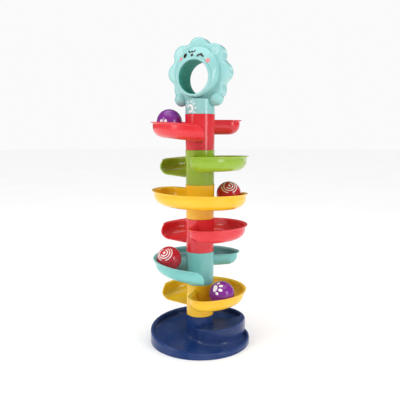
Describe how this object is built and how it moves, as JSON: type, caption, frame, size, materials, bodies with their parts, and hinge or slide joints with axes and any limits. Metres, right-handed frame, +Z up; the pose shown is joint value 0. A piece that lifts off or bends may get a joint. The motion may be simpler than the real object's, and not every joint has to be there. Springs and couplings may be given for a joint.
{
  "type": "marble run",
  "caption": "Tall toy tower of winding ball tracks stacked on a round tray, with balls on the way down and an animal ring on top.",
  "frame": {"origin": "centre of the tray's underside, on the axis of the tower", "axes": "+Z up the tower; -Y is the front"},
  "size_m": [0.194, 0.194, 0.562],
  "materials": {
    "navy": "glossy moulded plastic",
    "yellow": "glossy moulded plastic",
    "red": "glossy moulded plastic",
    "green": "glossy moulded plastic",
    "teal": "glossy moulded plastic",
    "light_teal": "glossy moulded plastic",
    "deep_teal": "glossy moulded plastic",
    "purple": "glossy moulded plastic",
    "ball_red": "glossy moulded plastic"
  },
  "bodies": {
    "tray": {"base_tray": "navy"},
    "tier_1": {"tier_1_column": "yellow", "tier_1_track": "yellow"},
    "tier_2": {"tier_2_column": "teal", "tier_2_track": "teal"},
    "tier_3": {"tier_3_column": "red", "tier_3_track": "red"},
    "tier_4": {"tier_4_column": "yellow", "tier_4_track": "yellow"},
    "tier_5": {"tier_5_column": "green", "tier_5_track": "green"},
    "tier_6": {"tier_6_column": "red", "tier_6_track": "red"},
    "head": {"neck_collar": "light_teal", "head_front_shell": "light_teal", "head_back_shell": "light_teal", "face_ring": "light_teal", "ring_liner": "deep_teal", "paw_left": "light_teal", "paw_right": "light_teal"},
    "ball_1": {"ball_1_upper_half": "purple", "ball_1_lower_half": "purple"},
    "ball_2": {"ball_2_upper_half": "ball_red", "ball_2_lower_half": "ball_red"},
    "ball_3": {"ball_3_upper_half": "ball_red", "ball_3_lower_half": "ball_red"},
    "ball_4": {"ball_4_upper_half": "purple", "ball_4_lower_half": "purple"}
  },
  "joints": [
    {"name": "tier_1_lift", "type": "slide", "parent": "tray", "child": "tier_1", "axis": [0, 0, 1], "range_m": [0, 0.02]},
    {"name": "tier_2_lift", "type": "slide", "parent": "tier_1", "child": "tier_2", "axis": [0, 0, 1], "range_m": [0, 0.02]},
    {"name": "tier_3_lift", "type": "slide", "parent": "tier_2", "child": "tier_3", "axis": [0, 0, 1], "range_m": [0, 0.02]},
    {"name": "tier_4_lift", "type": "slide", "parent": "tier_3", "child": "tier_4", "axis": [0, 0, 1], "range_m": [0, 0.02]},
    {"name": "tier_5_lift", "type": "slide", "parent": "tier_4", "child": "tier_5", "axis": [0, 0, 1], "range_m": [0, 0.02]},
    {"name": "tier_6_lift", "type": "slide", "parent": "tier_5", "child": "tier_6", "axis": [0, 0, 1], "range_m": [0, 0.02]},
    {"name": "head_lift", "type": "slide", "parent": "tier_6", "child": "head", "axis": [0, 0, 1], "range_m": [0, 0.02]},
    {"name": "ball_1_roll", "type": "hinge", "parent": "tier_1", "child": "ball_1", "pos_m": [0, 0, 0.10749], "axis": [0.0327, 0.0305, 0.999], "range_deg": [-25, 60]},
    {"name": "ball_2_roll", "type": "hinge", "parent": "tier_2", "child": "ball_2", "pos_m": [0, 0, 0.16544], "axis": [0.0054, -0.0444, 0.999], "range_deg": [-45, 50]},
    {"name": "ball_3_roll", "type": "hinge", "parent": "tier_4", "child": "ball_3", "pos_m": [0, 0, 0.28583], "axis": [-0.037, 0.0916, 0.9951], "range_deg": [-50, 10]},
    {"name": "ball_4_roll", "type": "hinge", "parent": "tier_6", "child": "ball_4", "pos_m": [0, 0, 0.41854], "axis": [-0.0131, -0.0427, 0.999], "range_deg": [-45, 60]}
  ]
}
